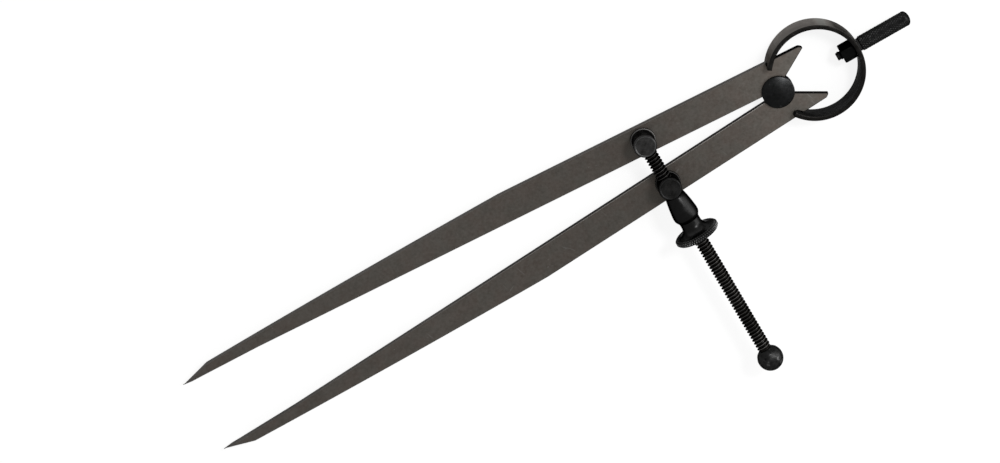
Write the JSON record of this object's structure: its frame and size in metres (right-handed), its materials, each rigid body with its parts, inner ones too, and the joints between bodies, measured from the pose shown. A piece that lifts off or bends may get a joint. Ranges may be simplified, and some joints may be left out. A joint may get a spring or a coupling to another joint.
{
  "type": "two-point divider",
  "caption": "Bow-spring divider with flat tapered legs, a knurled handle, and an adjusting screw and nut that set the distance between its points.",
  "frame": {"origin": "centre of the outline in plan, on the plane of the bow spring's lower edge, which the divider lies on", "axes": "+X along the bisector of the legs towards the handle, +Y towards the upper leg, +Z along the fulcrum axis towards the domed cap"},
  "size_m": [0.2486, 0.0918, 0.0167],
  "materials": {
    "leg_steel": "dark satin steel, hardened, with light handling marks",
    "black_oxide": "black oxide, satin"
  },
  "bodies": {
    "head": {"bow_spring": "black_oxide", "handle": "black_oxide", "handle_nut": "black_oxide", "fulcrum_stud": "black_oxide", "fulcrum_washer": "black_oxide"},
    "upper_leg": {"leg_upper": "leg_steel"},
    "lower_leg": {"leg_lower": "leg_steel"},
    "screw_swivel": {"screw_stud": "black_oxide", "screw_stud_washer": "black_oxide", "adjusting_screw": "black_oxide", "screw_ball": "black_oxide"},
    "nut_swivel": {"nut_stud": "black_oxide", "nut_stud_washer": "black_oxide"},
    "nut": {"nut_sleeve": "black_oxide", "adjusting_nut": "black_oxide"}
  },
  "joints": [
    {"name": "upper_leg_swing", "type": "hinge", "parent": "head", "child": "upper_leg", "pos_m": [0.07858, 0.03053, 0.0043], "axis": [0, 0, -1], "range_deg": [-3.43, 26.57], "deforming": ["bow_spring"]},
    {"name": "lower_leg_swing", "type": "hinge", "parent": "head", "child": "lower_leg", "pos_m": [0.07858, 0.03053, 0.0043], "axis": [0, 0, 1], "range_deg": [-3.43, 26.57]},
    {"name": "screw_stud_swivel", "type": "hinge", "parent": "upper_leg", "child": "screw_swivel", "pos_m": [0.03567, 0.03841, 0.0043], "axis": [0, 0, 1], "range_deg": [-3.43, 26.57]},
    {"name": "nut_stud_swivel", "type": "hinge", "parent": "lower_leg", "child": "nut_swivel", "pos_m": [0.03567, 0.02264, 0.0043], "axis": [0, 0, -1], "range_deg": [-3.43, 26.57]},
    {"name": "nut_spin", "type": "hinge", "parent": "nut_swivel", "child": "nut", "pos_m": [0.03567, 0.02264, 0.0095], "axis": [0, -1, 0], "continuous": true}
  ],
  "couplings": [
    {"joint": "lower_leg_swing", "follows": "upper_leg_swing", "ratio": 1},
    {"joint": "screw_stud_swivel", "follows": "upper_leg_swing", "ratio": 1},
    {"joint": "nut_stud_swivel", "follows": "upper_leg_swing", "ratio": 1},
    {"joint": "nut_spin", "follows": "upper_leg_swing", "ratio": 456.9}
  ]
}
